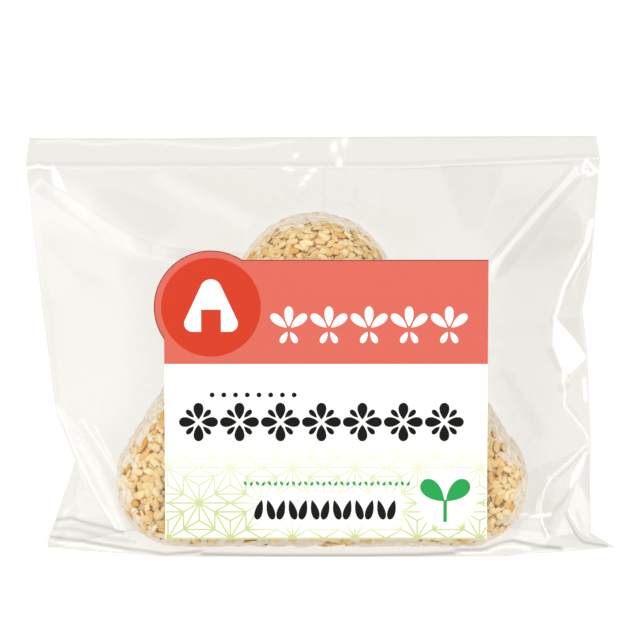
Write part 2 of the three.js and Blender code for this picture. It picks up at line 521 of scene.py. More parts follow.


# Folds of the film's front: line of (x, z), reach and height of the fold, width and strength of its painted
# light.
# Painted light above 0 is a painted highlight, white where the fold would catch the light, and below 0 it is
# painted shade, grey where the fold turns away from it.
FRONT_FOLDS = (
    # right side: long ridge, tip under the seam, deep crease and what branches off it
    (((64.9, 95.8), (57, 88), (49, 80)), 1.2, 0, 2.0, 0.14),
    (((49, 80), (41.3, 72.2)), 1.2, 0, 1.2, 0.18),
    (((65.3, 94.9), (66.4, 97.6), (68.1, 95.5), (69.4, 94.7)), 0.9, 0.3, 0.3, 0.9),
    (((65.3, 94.9), (67.1, 94.0), (69.4, 94.7)), 0.9, 0.3, 0.3, 0.8),
    (((67.9, 82), (67.4, 80.6), (66.7, 76.6), (65.2, 73.8)), 1.5, -0.7, 0.5, 0.95),
    (((65.2, 73.8), (60.9, 66.2), (58.6, 58.1)), 1.9, -1.2, 0.38, 0.9),
    (((58.6, 58.1), (58.4, 51.3), (61.2, 44.2), (60.7, 42)), 1.9, -1.2, 0.4, 0.6),
    (((60.7, 43), (61.3, 38.6), (60.9, 36.1), (63.9, 32.3), (66.4, 29), (67.5, 26.5)), 1.3, 0.3, 0.26, 0.42),
    (((66.3, 42), (66.8, 36.8)), 0.8, 0.3, 0.4, 0.7),
    (((67.7, 25.2), (62, 21), (57.8, 18.2)), 1.2, 0.22, 0.28, 0.3),
    (((67.2, 24.0), (62.3, 19.9), (58.4, 17.2)), 0.7, -0.3, 0.3, -0.35),
    (((57.8, 18.2), (55.9, 15.1), (54.9, 11.3), (55.3, 7.5), (56.9, 3.9)), 1.2, 0.22, 0.25, 0.38),
    (((49.6, 10), (53, 9.3), (57.4, 9.2)), 0.8, 0.2, 0.3, 0.55),
    (((62.6, 14.2), (60.8, 11.9), (58.6, 10.3)), 0.9, -0.3, 0.45, -0.3),
    (((61.4, 8.8), (62.2, 6.9), (64, 3.7), (65.9, 1.9), (72, 0.6)), 0.8, 0.05, 0.26, -0.7),
    (((62.3, 9.4), (63.4, 7.1), (65.2, 4.4), (68, 2.6)), 0.6, -0.1, 0.25, 0.3),
    (((45.5, 46), (54.5, 30)), 2.6, -0.2, 1.6, -0.16),
    (((33, 2.0), (40.3, 2.1), (44.5, 3.4), (47.7, 3.7), (53, 2.1), (60, 1.0)), 0.8, 0.12, 0.42, -1.0),
    (((35, 1.2), (40.5, 1.3), (46, 2.4), (52, 1.2)), 0.6, -0.1, 0.35, 0.4),
    # left side: soft ridge, tip under the seam, wide crease to the ear and the folds on it
    (((-64.2, 89.9), (-56, 84.6), (-47.9, 79.3), (-45.2, 77.5), (-38, 77)), 2.0, 0, 2.4, 0.12),
    (((-74, 95.4), (-71.4, 96.0), (-67.6, 95.4)), 0.7, 0.25, 0.3, 0.75),
    (((-66.7, 34.1), (-61, 24.6), (-55, 15.5), (-50, 6)), 2.4, 0.4, 1.3, 0.26),
    (((-66.7, 34.1), (-61.9, 21.5), (-57.4, 14.1), (-51.3, 5.6)), 1.2, 0.15, 0.6, 0.35),
    (((-60.7, 32.3), (-50.1, 16.3)), 0.9, 0, 0.45, 0.28),
    (((-57.1, 31), (-51.4, 18.9)), 0.9, 0, 0.45, 0.2),
    (((-63.6, 32.5), (-54.6, 16.9)), 0.9, 0, 0.45, 0.2),
    (((-40.6, 93), (-32.1, 88.2), (-25.1, 85.9), (-18.8, 82.7)), 3.0, 0.2, 1.6, 0.12),
    (((-66.8, 7.0), (-63, 7.5), (-58.7, 6.6), (-49.9, 5.1)), 0.8, 0.08, 0.4, -0.75),
    (((-67.4, 4.8), (-61, 5.0), (-53, 3.4), (-47, 3.0)), 0.8, 0.08, 0.6, -0.4),
    (((-68.4, 2.8), (-60.6, 2.6), (-48, 1.3), (-38.9, 0.9), (-30.2, 1.6)), 0.8, 0.12, 0.4, -0.9),
    (((-67, 1.6), (-60, 1.6), (-50, 0.7)), 0.6, 0, 0.4, 0.3),
    (((-30.2, 0.9), (-12, 0.5), (8, 0.45), (24, 0.7), (33, 1.2)), 0.7, 0.05, 0.5, -1.0),
    # under the seam and on the free header
    (((-71.3, 102.0), (-64.7, 102.5), (-56.6, 101.4), (-45, 102.4)), 0.5, 0, 0.4, 0.22),
    (((-45, 102.4), (-29.3, 100.8), (-21.2, 100.5), (-7.1, 102.4)), 0.5, 0, 0.4, 0.22),
    (((-6.3, 99.1), (-7.1, 97.6)), 0.6, 0.1, 0.3, 0.5),
    (((-2.1, 95.4), (-4.8, 92.0)), 0.8, 0.2, 0.35, 0.7),
    (((-9.4, 95.6), (-7.4, 95.0)), 0.5, 0.1, 0.3, 0.55),
    (((2.5, 102.9), (4, 96.4)), 0.7, 0.3, 0.32, 0.6),
    (((5.8, 102.9), (4.3, 96.4)), 0.7, 0.3, 0.32, 0.6),
)

# Flat facets between folds: corners going round clockwise, strength of their painted highlight (above 0) or
# painted shade (below 0), and how soft its edge is
FRONT_FACETS = (
    (((58.6, 58.1), (63.9, 51.8), (66.7, 47.5), (62.4, 43.9), (61.2, 44.2), (58.4, 51.3)), 0.95, 0.5),
    (((-62.9, 21), (-53, 7.6), (-67.3, 7.6)), 0.1, 1.5),
    (((67, 22.7), (64.7, 17), (62.7, 15), (63.7, 18.4)), 0.9, 0.5),
    (((-67.6, 96.1), (-65.9, 93.6), (-64.3, 90.5), (-66.9, 91.5), (-67.6, 93.6)), 0.9, 0.5),
    (((29.5, 96.3), (46, 96.3), (39.5, 81.5), (35, 81.5)), -0.14, 0.7),
    (((-76, 92), (-62, 88), (-46, 76), (-46, 40), (-56, 24), (-70, 36)), 0.13, 7),
    (((44, 92), (66, 92), (63, 60), (54, 20), (46, 20)), -0.09, 5),
    (((57.5, 17), (66.5, 24), (67.5, 6), (58, 3)), 0.12, 2),
)
# Painted highlight along the seam's lower edge: its strength and width
SEAM_PAINTED_HIGHLIGHT = 0.22
SEAM_PAINTED_HIGHLIGHT_WIDTH = 0.3

# The lengthwise seal on the back lies flat between these two places
FIN_LEFT, FIN_RIGHT = 0.5, 9
FIN_HEIGHT = 0.2
FIN_STEP = 0.6
# Painted highlight along the seal's two edges: its strength and width
FIN_PAINTED_HIGHLIGHT = 0.08
FIN_PAINTED_HIGHLIGHT_WIDTH = 0.5

# Sizes of the film's soft ridged waves and of the finer ones on them, and their levels
RIDGE_SCALE = 34
RIPPLE_SCALE = 15
WAVE_COUNT = 7
RIDGE_LEVEL = 0.6
RIPPLE_SHARE = 0.2

# What the moist rice takes off the painted highlight and shade, what the seam leaves of the relief and what
# the header takes off it
RICE_CLEARS = 0.9
SEAM_LEAVES = 0.15
HEADER_CALMS = 0.55


def film_relief(x, z, at_front, rng):
    """Relief of the film and its painted highlight and shade: soft ridged waves that fade over the rice ball,
    with the folds by name at the front and the lengthwise seal at the back."""
    height = settings("bag").wrinkle_height / MM
    slack = smooth(-rice_inside(x, z), -6, 6)
    folded = np.abs(waves(x, z, RIDGE_SCALE, WAVE_COUNT, rng)) - RIDGE_LEVEL
    fine = waves(x, z, RIPPLE_SCALE, WAVE_COUNT, rng)
    relief = height * slack * (folded + RIPPLE_SHARE * fine)
    # painted highlight along the seam's lower edge
    painted_light = SEAM_PAINTED_HIGHLIGHT * np.exp(-(((z - seam_height(x)) / SEAM_PAINTED_HIGHLIGHT_WIDTH) ** 2))
    if at_front:
        for points, reach, tall, wide, strength in FRONT_FOLDS:
            away = line_distance(x, z, points)
            relief = relief + tall * crest(away, reach)
            # painted highlight or painted shade along the fold
            glow = strength * np.exp(-((away / wide) ** 2))
            painted_light = np.where(np.abs(glow) > np.abs(painted_light), glow, painted_light)
        for corners, strength, soft in FRONT_FACETS:
            # painted highlight or painted shade over the facet
            glow = strength * smooth(facet_inside(x, z, corners), -soft, soft)
            painted_light = painted_light + glow * (1 - np.abs(painted_light))
    else:
        fin = smooth(x, FIN_LEFT, FIN_LEFT + FIN_STEP) * (1 - smooth(x, FIN_RIGHT - FIN_STEP, FIN_RIGHT))
        relief = relief + FIN_HEIGHT * fin
        for edge in (FIN_LEFT, FIN_RIGHT):
            # painted highlight along the seal's edges
            painted_light = np.maximum(painted_light, FIN_PAINTED_HIGHLIGHT * np.exp(-(((x - edge) / FIN_PAINTED_HIGHLIGHT_WIDTH) ** 2)))
    over_rice = smooth(rice_inside(x, z), -2, 3) * smooth(z, 1.2, 4)
    return relief, painted_light * (1 - RICE_CLEARS * over_rice)


def ear_lean(x, z, at_front):
    """How far the side folds of the bag lean to the front at the ears, which lie on the floor."""
    width = FRONT_EAR_WIDTH if at_front else BACK_EAR_WIDTH
    beyond = np.maximum(np.interp(z, LEFT_Z, LEFT_X) - x, x - np.interp(z, RIGHT_Z, RIGHT_X)) + width
    return EAR_LEAN * smooth(beyond, 0, width - EAR_TIP) * (1 - smooth(z, 0, EAR_TOP))


def film_rows():
    """For each row of the film from the floor up: its height on the foot, its shares of the way to the seam
    and from there to the top edge, and what the foot's turn takes off the depth. All are columns."""
    turns = np.linspace(0, math.pi / 2, FOOT_ROWS + 1)[:-1]
    body = np.interp(np.linspace(0, 1, BODY_ROWS), ROW_PLACES, ROW_SHARES)
    header = np.linspace(0, 1, HEADER_ROWS + 1)[1:]
    straight = BODY_ROWS + HEADER_ROWS
    foot = np.concatenate([FOOT_ROUND * (1 - np.cos(turns)), np.full(straight, FOOT_ROUND)])
    to_seam = np.concatenate([np.zeros(FOOT_ROWS), body, np.ones(HEADER_ROWS)])
    to_top = np.concatenate([np.zeros(FOOT_ROWS + BODY_ROWS), header])
    inset = np.concatenate([FOOT_ROUND * (1 - np.sin(turns)), np.zeros(straight)])
    return [column[:, None] for column in (foot, to_seam, to_top, inset)]


def row_heights(x, foot, to_seam, to_top):
    """Heights of the film's rows at x."""
    seam = seam_height(x)
    return foot + (seam - FOOT_ROUND) * to_seam + (top_height(x) - seam) * to_top


def film_points(at_front, seed):
    """Points of the front or back sheet, row by row from the floor, each row from left to right."""
    rng = np.random.default_rng(seed)
    full = FRONT_DEPTH if at_front else BACK_DEPTH
    share = np.interp(np.linspace(0, 1, COLUMNS), COLUMN_PLACES, COLUMN_SHARES)
    foot, to_seam, to_top, inset = film_rows()
    middle = row_heights(0.0, foot, to_seam, to_top)
    left, right = np.interp(middle, LEFT_Z, LEFT_X), np.interp(middle, RIGHT_Z, RIGHT_X)
    x = left + (right - left) * share
    z = row_heights(x, foot, to_seam, to_top)
    depth = bag_half_depth(x, z, full, at_front)
    header = smooth(z - seam_height(x), -1.5, 0.2)
    side = np.minimum(share, 1 - share) * (RIGHT_X[1] - LEFT_X[1])
    off_seam = smooth(np.abs(seam_height(x) - z), 0.3, 5)
    free = smooth(side, 0, 3) * smooth(z, 0.5, 5) * (SEAM_LEAVES + (1 - SEAM_LEAVES) * off_seam)
    label = (x > LABEL_LOW[0] - 1) & (x < LABEL_HIGH[0] + 1) & (z < LABEL_HIGH[2] + 1)
    relief, painted_light = film_relief(x, z, at_front, rng)
    relief = relief * free * (1 - HEADER_CALMS * header)
    cling = smooth(rice_inside(x, z), -2.5, 0.5)
    if at_front:
        relief = np.where(label, np.minimum(relief, 0), relief)
    seam = SEAM_BEAD * np.exp(-(((z - seam_height(x)) / SEAM_BEAD_WIDTH) ** 2))
    half = SEALED_HALF + seam * smooth(side, 0, 1)
    depth = np.maximum(depth - inset + relief, half)
    depth = np.minimum(depth, full)
    y = np.maximum((-1 if at_front else 1) * depth - ear_lean(x, z, at_front), -FRONT_DEPTH)
    points = np.stack([x, y, z], axis=-1)
    return points, painted_light, cling


def film_bag():
    """The film: front and back sheets on one grid, joined at the side folds and the top edge, and a sheet
    across the floor between their lowest rows."""
    columns = COLUMNS
    front, front_painted_light, cling = film_points(True, 11)
    back, back_painted_light, _ = film_points(False, 12)
    rows = len(front)
    count = rows * columns
    across = FLOOR_ROWS
    front_faces = grid_faces(rows, columns)
    back_faces = grid_faces(rows, columns)[:, ::-1] + count
    shares = np.linspace(0, 1, across + 1)[1:-1, None, None]
    floor = front[0] + (back[0] - front[0]) * shares
    points = np.concatenate([front.reshape(-1, 3), back.reshape(-1, 3), floor.reshape(-1, 3)])
    base = 2 * count
    lines = [np.arange(columns)]
    lines += [base + k * columns + np.arange(columns) for k in range(across - 1)]
    lines += [count + np.arange(columns)]
    lines = np.array(lines)
    floor_faces = np.stack([lines[1:, :-1], lines[1:, 1:], lines[:-1, 1:], lines[:-1, :-1]], -1)
    floor_faces = floor_faces.reshape(-1, 4)
    top = (rows - 1) * columns + np.arange(columns)
    top_faces = np.stack([top[:-1], top[1:], top[1:] + count, top[:-1] + count], -1)
    start = np.arange(rows) * columns
    end = start + columns - 1
    left_faces = np.stack([start[1:], start[1:] + count, start[:-1] + count, start[:-1]], -1)
    right_faces = np.stack([end[:-1], end[:-1] + count, end[1:] + count, end[1:]], -1)
    film = make_mesh(
        "film_bag", points, front_faces, back_faces, floor_faces, top_faces, left_faces, right_faces
    )
    plain = np.zeros(floor.shape[:-1])
    # the painted highlight and shade ride on the film as a point attribute
    for name, at_front, at_back in (("painted_light", front_painted_light, back_painted_light), ("cling", cling, cling)):
        point_values(film, name, np.concatenate([at_front.ravel(), at_back.ravel(), plain.ravel()]))
    return film


# Share of light that film mirrors head on, share of its gloss that clinging takes, and its tint where painted
# shade greys it
MIRRORED = 0.08
CLING_DULLS = 0.85
PAINTED_SHADE_TINT = 0.62


def film_material():
    """Clear polypropylene film, cast thin and glossy: nearly all light goes straight through, a little of it
    greyed, and each layer mirrors about 8%, rising steeply at grazing angles. Film that clings to the moist
    rice mirrors less. A painted highlight turns it white along its folds and facets where they would catch
    the light, and painted shade greys it where they turn away."""
    bag = settings("bag")
    material, tree = new_material("clear_cast_film")
    painted_light = add(tree, "ShaderNodeAttribute", attribute_name="painted_light")
    cling = add(tree, "ShaderNodeAttribute", attribute_name="cling")
    edge = add(tree, "ShaderNodeLayerWeight", {"Blend": 0.5})
    steep = add(tree, "ShaderNodeMath", {0: edge.outputs["Facing"], 1: 5.0}, operation="POWER")
    rise = {0: steep.outputs[0], 1: 1 - MIRRORED, 2: MIRRORED}
    mirror = add(tree, "ShaderNodeMath", rise, operation="MULTIPLY_ADD")
    dull = {0: cling.outputs["Fac"], 1: -CLING_DULLS, 2: 1.0}
    slack = add(tree, "ShaderNodeMath", dull, operation="MULTIPLY_ADD")
    gleam = add(tree, "ShaderNodeMath", {0: mirror.outputs[0], 1: slack.outputs[0]}, operation="MULTIPLY")
    # Painted shade: below 0 the painted light darkens the film's tint
    below = {0: painted_light.outputs["Fac"], 1: -1.0}
    painted_shade = add(tree, "ShaderNodeMath", below, operation="MULTIPLY", use_clamp=True)
    tint = add(tree, "ShaderNodeMix", {0: painted_shade.outputs[0]}, data_type="RGBA")
    tint.inputs[6].default_value = with_alpha(bag.film_tint)
    tint.inputs[7].default_value = with_alpha(np.array(bag.film_tint) * PAINTED_SHADE_TINT)
    clear = add(tree, "ShaderNodeBsdfTransparent", {"Color": tint.outputs[2]})
    gloss = add(tree, "ShaderNodeBsdfAnisotropic", {"Color": with_alpha((1, 1, 1)), "Roughness": 0.1})
    layers = {0: gleam.outputs[0], 1: clear.outputs[0], 2: gloss.outputs[0]}
    both = add(tree, "ShaderNodeMixShader", layers)
    # Painted highlight: above 0 the painted light mixes in white diffuse film
    painted_highlight = add(tree, "ShaderNodeBsdfDiffuse", {"Color": with_alpha((0.95, 0.947, 0.94))})
    above = {0: painted_light.outputs["Fac"], 1: 0.0}
    white = add(tree, "ShaderNodeMath", above, operation="MAXIMUM", use_clamp=True)
    layers = {0: white.outputs[0], 1: both.outputs[0], 2: painted_highlight.outputs[0]}
    whole = add(tree, "ShaderNodeMixShader", layers)
    add(tree, "ShaderNodeOutputMaterial", {"Surface": whole.outputs[0]})
    return material


# The rice ball


# Colour of rice under the sesame, and of the painted shade at a seed's edge
STAINED_RICE = "#f3dcae"
SEED_EDGE_SHADE = "#b27a3c"

# Rows and columns of the core's grid: round its outline, over its rim and on each face
CORE_COLUMNS = 330
CORE_RIM_ROWS = 60
CORE_FACE_ROWS = 20

# The core lies this far under the outline, give or take its relief, for the grains to lie in
CORE_SUNK = 0.12
CORE_RELIEF = 0.18
CORE_RADIUS = 45

# Width and thickness of a cooked grain, how deep its middle lies, how far it tips, the share of the rim
# that stays free at either face, and the step by which the grains go round to lie evenly
GRAIN_WIDTH = 2.9
GRAIN_THICKNESS = 2.5
GRAIN_SINK = (0.45, 1.08)
GRAIN_TIP = 0.12
GRAIN_MARGIN = 0.06
GOLDEN_SHARE = 0.6180339887

# Step along the rim's bend and round the outline over which slopes are measured
RIM_STEP = 0.002


def rice_core():
    """The pressed body: rings of points round the outline, from the middle of the front face over the rim to
    the middle of the back, with low relief of pressed grains."""
    around = CORE_COLUMNS
    share = np.arange(around) / around
    cx, cz, r, nx, nz, _ = rice_outline(share)
    across = np.linspace(0, 1, CORE_RIM_ROWS)
    inset, depth, rim_length = rim_curve(across)
    from_face = rim_length * np.minimum(across, across[::-1])[:, None]
    stain = 1 - smooth(from_face - seed_reach(cz + r * nz, nx), -2.5, 0.5)
    ring_x = cx + (r - inset[:, None]) * nx
    ring_z = cz + (r - inset[:, None]) * nz
    ring_y = np.repeat(depth[:, None], around, axis=1)
    middle_z = MIDDLE_HEIGHT
    spread = np.linspace(0, 1, CORE_FACE_ROWS + 2)[1:-1, None]
    x = np.concatenate([ring_x[0] * spread, ring_x, ring_x[-1] * spread[::-1]])
    z = np.concatenate([
        middle_z + (ring_z[0] - middle_z) * spread,
        ring_z,
        middle_z + (ring_z[-1] - middle_z) * spread[::-1],
    ])
    y = np.concatenate([
        np.full((len(spread), around), -RICE_HALF_DEPTH),
        ring_y,
        np.full((len(spread), around), RICE_HALF_DEPTH),
    ])
    rng = np.random.default_rng(3)
    bumps = waves(x + y, z, 4.2, 8, rng) * waves(x - y, z + y, 5.5, 6, rng)
    sunk = CORE_SUNK + CORE_RELIEF * bumps
    shrink = 1 - sunk / CORE_RADIUS
    x, z, y = x * shrink, middle_z + (z - middle_z) * shrink, y * (1 - sunk / RICE_HALF_DEPTH)
    ends = np.array([[0, y[0, 0], middle_z], [0, y[-1, 0], middle_z]])
    points = np.concatenate([np.stack([x, y, z], -1).reshape(-1, 3), ends])
    core = make_mesh("rice_core", points, *closed_faces(len(x), around))
    flat = np.ones((len(spread), around))
    point_values(core, "stain", np.concatenate([flat.ravel(), stain.ravel(), flat.ravel(), [1, 1]]))
    return core


def unit_body(rings, around, profile):
    """A closed unit form along X from -1 to 1: rings of an ellipse whose half width is profile(0 to 1), with
    a point at each end. Gives its points, its triangles, each point's place along it and how near it is to
    the flat form's edge, both from 0 to 1."""
    along = (1 - np.cos(np.linspace(0, math.pi, rings + 2)[1:-1])) / 2
    turn = np.linspace(0, 2 * math.pi, around, endpoint=False)
    wide = profile(along)[:, None]
    x = np.repeat((2 * along - 1)[:, None], around, axis=1)
    points = np.stack([x, wide * np.cos(turn), wide * np.sin(turn)], -1).reshape(-1, 3)
    points = np.concatenate([points, [[-1, 0, 0], [1, 0, 0]]])
    quads, start_cap, end_cap = closed_faces(rings, around)
    triangles = np.concatenate([quads[:, [0, 1, 2]], quads[:, [0, 2, 3]], start_cap, end_cap])
    place = np.concatenate([np.repeat(along, around), [0, 1]])
    edge = np.concatenate([np.tile(np.abs(np.cos(turn)), rings), [1, 1]])
    return points, triangles[:, ::-1], place, edge


def scatter(name, unit, centres, normals, heading, sizes):
    """Joins copies of a unit form into one mesh. Each stands at its centre, lies flat against its normal,
    points along its heading in that plane, and has its own length, width and thickness."""
    points, triangles, place, edge = unit
    helper = np.where(np.abs(normals[:, 2:3]) < 0.9, [[0.0, 0, 1]], [[1.0, 0, 0]])
    side = np.cross(helper, normals)
    side /= np.linalg.norm(side, axis=1, keepdims=True)
    up = np.cross(normals, side)
    c, s = np.cos(heading)[:, None], np.sin(heading)[:, None]
    forward = side * c + up * s
    across = np.cross(normals, forward)
    axes = np.stack([forward, across, normals], axis=1) * (sizes / 2)[:, :, None]
    placed = np.einsum("vk,nkd->nvd", points, axes) + centres[:, None, :]
    placed[..., 2] = np.maximum(placed[..., 2], FLOOR_GAP)
    count = len(points)
    faces = triangles[None] + (np.arange(len(centres)) * count)[:, None, None]
    thing = make_mesh(name, placed.reshape(-1, 3), faces.reshape(-1, 3))
    point_values(thing, "place", np.tile(place, len(centres)))
    point_values(thing, "edge", np.tile(edge, len(centres)))
    return thing, count


def on_rim(outline, across, step):
    """Places on the rim as x, depth and z, and their outward normals, measured over a step along its bend."""
    cx, cz, r, nx, nz, _ = outline
    inset, depth, _ = rim_curve(across)
    next_inset, next_depth, _ = rim_curve(across + step)
    run, rise = next_inset - inset, next_depth - depth
    length = np.hypot(run, rise) * np.sign(step)
    out, back = rise / length, run / length
    points = np.stack([cx + (r - inset) * nx, depth, cz + (r - inset) * nz], -1)
    return points, np.stack([nx * out, back, nz * out], -1)


def varied_sizes(rng, count, *sizes):
    """Length, width and thickness of each copy, from pairs of a mean and its spread."""
    return np.stack([rng.normal(mean, spread, count) for mean, spread in sizes], -1)


def tipped(normals, spread, rng):
    """Normals, each tipped at random."""
    turned = normals + rng.normal(0, spread, normals.shape)
    return turned / np.linalg.norm(turned, axis=1, keepdims=True)


def rice_grains():
    """Cooked grains pressed into the ball's sides: evenly scattered over the rim and turned at random."""
    rice = settings("rice")
    rng = np.random.default_rng(21)
    count = rice.grain_count
    order = np.arange(count)
    share = (order * GOLDEN_SHARE + rng.normal(0, 0.002, count)) % 1
    across = (order + rng.uniform(0, 1, count)) / count
    across = GRAIN_MARGIN + (1 - 2 * GRAIN_MARGIN) * across
    outline = rice_outline(share)
    _, cz, r, nx, nz, _ = outline
    points, normals = on_rim(outline, across, RIM_STEP)
    bare = rim_curve(0)[-1] * np.minimum(across, 1 - across) - seed_reach(cz + r * nz, nx)
    sink = rng.uniform(*GRAIN_SINK, count)
    centres = points - normals * sink[:, None]
    length = (rice.grain_length / MM, 0.45)
    sizes = varied_sizes(rng, count, length, (GRAIN_WIDTH, 0.2), (GRAIN_THICKNESS, 0.15))
    normals = tipped(normals, GRAIN_TIP, rng)
    unit = unit_body(5, 8, lambda t: (1 - np.abs(2 * t - 1) ** 2.4) ** (1 / 2.4))
    heading = rng.uniform(0, math.pi, count)
    seen = bare > -0.5
    thing, _ = scatter("rice_grains", unit, centres[seen], normals[seen], heading[seen], sizes[seen])
    return thing


def rice_material():
    """Steamed short-grain rice: off-white and moist, it lets light in a millimetre or two, so it looks soft.
    It is cloudy over 4 mm, stained under the sesame, and its skin has a grit of 0.8 mm."""
    rice = settings("rice")
    material, tree = new_material("steamed_rice")
    place = add(tree, "ShaderNodeTexCoord").outputs["Object"]
    cloud = add(tree, "ShaderNodeTexNoise", {"Vector": place, "Scale": 1 / (4 * MM), "Detail": 3.0})
    plain = add(tree, "ShaderNodeMix", {0: cloud.outputs["Fac"]}, data_type="RGBA")
    plain.inputs[6].default_value = with_alpha(np.array(rice.rice_colour) * 0.93)
    plain.inputs[7].default_value = with_alpha(rice.rice_colour)
    stain = add(tree, "ShaderNodeAttribute", attribute_name="stain")
    shade = add(tree, "ShaderNodeMix", {0: stain.outputs["Fac"], 6: plain.outputs[2]}, data_type="RGBA")
    shade.inputs[7].default_value = with_alpha(linear(STAINED_RICE))
    grit = add(tree, "ShaderNodeTexNoise", {"Vector": place, "Scale": 1 / (0.8 * MM), "Detail": 4.0})
    relief = {"Height": grit.outputs["Fac"], "Distance": 0.05 * MM, "Strength": 0.6}
    bump = add(tree, "ShaderNodeBump", relief)
    skin = add(tree, "ShaderNodeBsdfPrincipled", {
        "Base Color": shade.outputs[2],
        "Roughness": 0.5,
        "Specular IOR Level": 0.3,
        "Subsurface Weight": 0.3,
        "Subsurface Radius": (1.0, 0.95, 0.85),
        "Subsurface Scale": 0.5 * MM,
        "Normal": bump.outputs[0],
    })
    add(tree, "ShaderNodeOutputMaterial", {"Surface": skin.outputs[0]})
    return material


def lattice(wide, high, gap, rng):
    """Points of a triangular lattice over a field of that width and height, each shaken off its place."""
    i, j = np.meshgrid(np.arange(int(wide / gap) + 1), np.arange(int(high / gap / 0.866) + 1))
    x = ((i + 0.5 * (j % 2)) * gap).reshape(-1)
    z = (j * gap * 0.866).reshape(-1)
    return x + rng.normal(0, gap * 0.3, x.shape), z + rng.normal(0, gap * 0.3, z.shape)


def seed_reach(height, sideways):
    """How far the seeds reach over the rim from the flat face, in mm along its bend: further round the apex
    and on the straight sides."""
    apex = smooth(height, 46, 72)
    low = 1 - apex
    right = RIGHT_REACH * smooth(sideways * low, 0.2, 0.9)
    left = LEFT_REACH * smooth(-sideways * low, 0.2, 0.8) * smooth(height, 19, 31)
    return SEED_REACH + APEX_REACH * apex + right + left


# Share of stray seeds past the ragged edge, how far they lie past it, and the most of the rim that any cover
STRAY_SHARE = 0.14
STRAY_REACH = 5
MOST_OF_RIM = 0.8

# Width and thickness of a seed, the most that it stands up, how far it tips, and the shares of seeds that
# are dark or have a brown tip
SEED_WIDTH = 2.25
SEED_THICKNESS = 0.8
SEED_LIFT = 0.3
SEED_TIP = 0.1
DARK_SHARE = 0.05
SCAR_SHARE = 0.65


def sesame_places(gap, rng):
    """Where seeds lie on the front: x, depth and z, and the outward normal with depth counted positive.

    The flat face has a lattice of its own. The rim has one along its length and across its bend, up to a
    ragged edge, which climbs further over the rim at the top. A few strays lie past it.
    """
    x, z = lattice(2 * RICE_HALF_WIDTH, RICE_TOP, gap, rng)
    x = x - RICE_HALF_WIDTH
    flat = rice_inside(x, z) > RIM_WIDTH - gap / 2
    x, z = x[flat], z[flat]
    level = np.zeros(len(x))
    face = np.stack([x, level + RICE_HALF_DEPTH, z, level, level + 1, level], -1)

    around = rice_outline(np.zeros(1))[-1]
    rim_length = rim_curve(0)[-1] / 2
    along, across = lattice(around, rim_length * 0.9, gap, rng)
    share = along / around % 1
    across = np.abs(across)
    turn = 2 * math.pi * share
    outline = rice_outline(share)
    _, cz, r, nx, nz, _ = outline
    ragged = sum(np.sin(k * turn + rng.uniform(0, 2 * math.pi)) for k in (3, 7, 11, 18, 27)) * 0.9
    edge = seed_reach(cz + r * nz, nx) + ragged + rng.normal(0, 0.6, len(share))
    stray = (rng.uniform(0, 1, len(share)) < STRAY_SHARE) & (across < edge + STRAY_REACH)
    keep = ((across < edge) | stray) & (across < MOST_OF_RIM * rim_length)
    place = 1 - across / rim_length / 2
    points, normals = on_rim(outline, place, -RIM_STEP)
    # round a corner the inner rows are shorter than the outline, so they keep fewer seeds
    ahead, _ = on_rim(rice_outline(share + RIM_STEP), place, -RIM_STEP)
    run = ahead - points
    kept_share = np.hypot(run[:, 0], run[:, 2]) / (RIM_STEP * around) + 0.05
    keep &= rng.uniform(0, 1, len(share)) < kept_share
    return np.concatenate([face, np.concatenate([points, normals], -1)[keep]])


def sesame(name, at_front, seed):
    """Sesame on one face and its rim. Each seed lies along the surface, turned and tipped at random."""
    sesame_set = settings("sesame")
    rng = np.random.default_rng(seed)
    made = sesame_places(sesame_set.seed_spacing / MM, rng)
    front = -1 if at_front else 1
    count = len(made)
    normals = made[:, 3:] * (1, front, 1)
    lift = rng.uniform(0.0, SEED_LIFT, count)
    centres = made[:, :3] * (1, front, 1) + normals * lift[:, None]
    flat = tipped(normals, SEED_TIP, rng)
    length = (sesame_set.seed_length / MM, 0.22)
    sizes = varied_sizes(rng, count, length, (SEED_WIDTH, 0.14), (SEED_THICKNESS, 0.08))
    unit = unit_body(4, 8, lambda t: 2.2 * t**0.86 * (1 - t) ** 0.42)
    thing, points = scatter(name, unit, centres, flat, rng.uniform(0, 2 * math.pi, count), sizes)
    roast = rng.beta(2.2, 2.6, count)
    tone = np.clip(roast + np.where(rng.uniform(0, 1, count) < DARK_SHARE, 0.45, 0), 0, 1.3)
    dark = np.where(rng.uniform(0, 1, count) < SCAR_SHARE, rng.uniform(0.6, 1, count), 0.0)
    point_values(thing, "tone", np.repeat(tone, points))
    point_values(thing, "scar", np.repeat(dark, points))
    return thing


